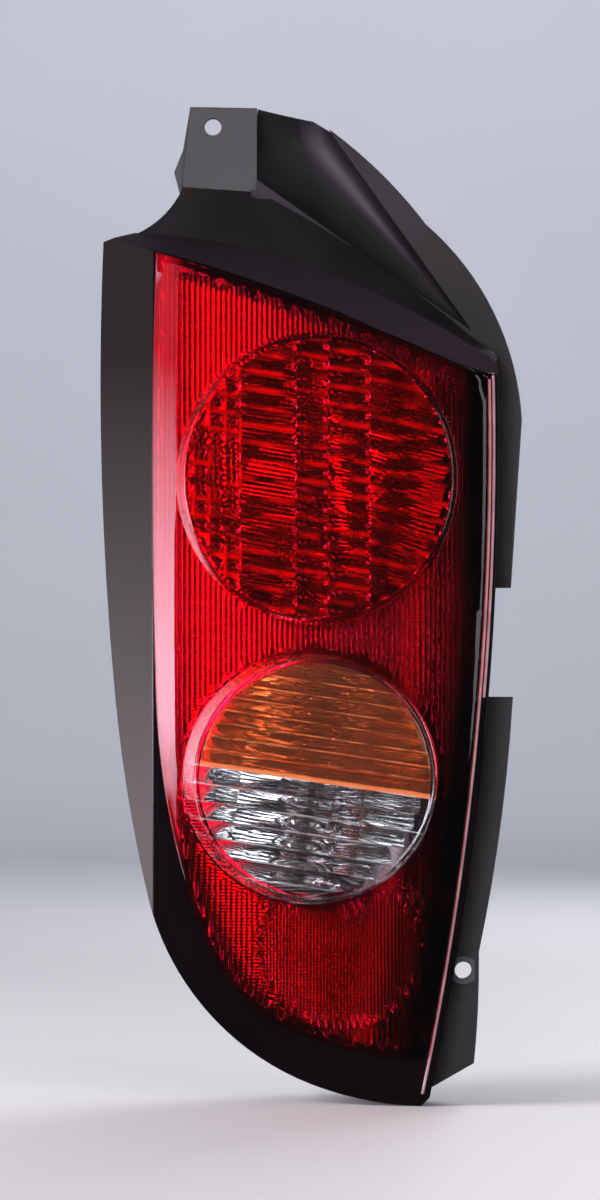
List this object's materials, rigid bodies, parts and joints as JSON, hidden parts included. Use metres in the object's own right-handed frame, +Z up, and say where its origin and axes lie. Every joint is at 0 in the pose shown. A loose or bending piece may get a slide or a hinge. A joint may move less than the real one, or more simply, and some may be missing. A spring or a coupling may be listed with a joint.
{
  "type": "car tail light cluster",
  "caption": "Left-hand rear lamp cluster of a small car: wrapped red lens with a stop lamp dome above a round amber and clear cap, in a black housing with a screw tab.",
  "frame": {"origin": "centre of the upper screw hole, on the front face of its tab", "axes": "-Y the way the lamp faces and along both screw holes, +X from the car's flank to its tailgate, +Z up"},
  "size_m": [0.1728, 0.1176, 0.4104],
  "materials": {
    "black_abs": "moulded, fine satin grain",
    "smoke_pmma": "polished, dark smoke",
    "red_pmma": "polished outside, fluted inside",
    "clear_pmma": "polished, clear",
    "amber_pmma": "polished, fluted inside",
    "metallised_plastic": "vacuum metallised, mirror bright",
    "metallised_panel": "vacuum metallised, satin",
    "sealing_bead": "black butyl",
    "foam": "closed-cell foam",
    "rubber": "moulded",
    "zinc_steel": "zinc plated",
    "holder_pbt": "moulded, grey",
    "brass": "stamped",
    "nickelled_brass": "nickel plated",
    "bulb_glass": "clear blown glass",
    "tungsten": "drawn wire"
  },
  "bodies": {
    "root": {"rear_housing": "black_abs", "lens_border": "smoke_pmma", "red_lens": "red_pmma", "clear_lens": "clear_pmma", "amber_filter": "amber_pmma", "stop_reflector": "metallised_plastic", "signal_reflector": "metallised_plastic", "bezel_panel": "metallised_panel", "lens_seal": "sealing_bead", "body_gasket": "foam", "vent_cap": "rubber", "panel_screws": "zinc_steel", "holder_seals": "rubber", "stop_holder": "holder_pbt", "indicator_holder": "holder_pbt", "reverse_holder": "holder_pbt", "stop_contacts": "brass", "indicator_contact": "brass", "reverse_contact": "brass", "stop_bulb_base": "nickelled_brass", "indicator_bulb_base": "nickelled_brass", "reverse_bulb_base": "nickelled_brass", "stop_bulb_glass": "bulb_glass", "indicator_bulb_glass": "bulb_glass", "reverse_bulb_glass": "bulb_glass", "bulb_filaments": "tungsten"}
  },
  "joints": []
}
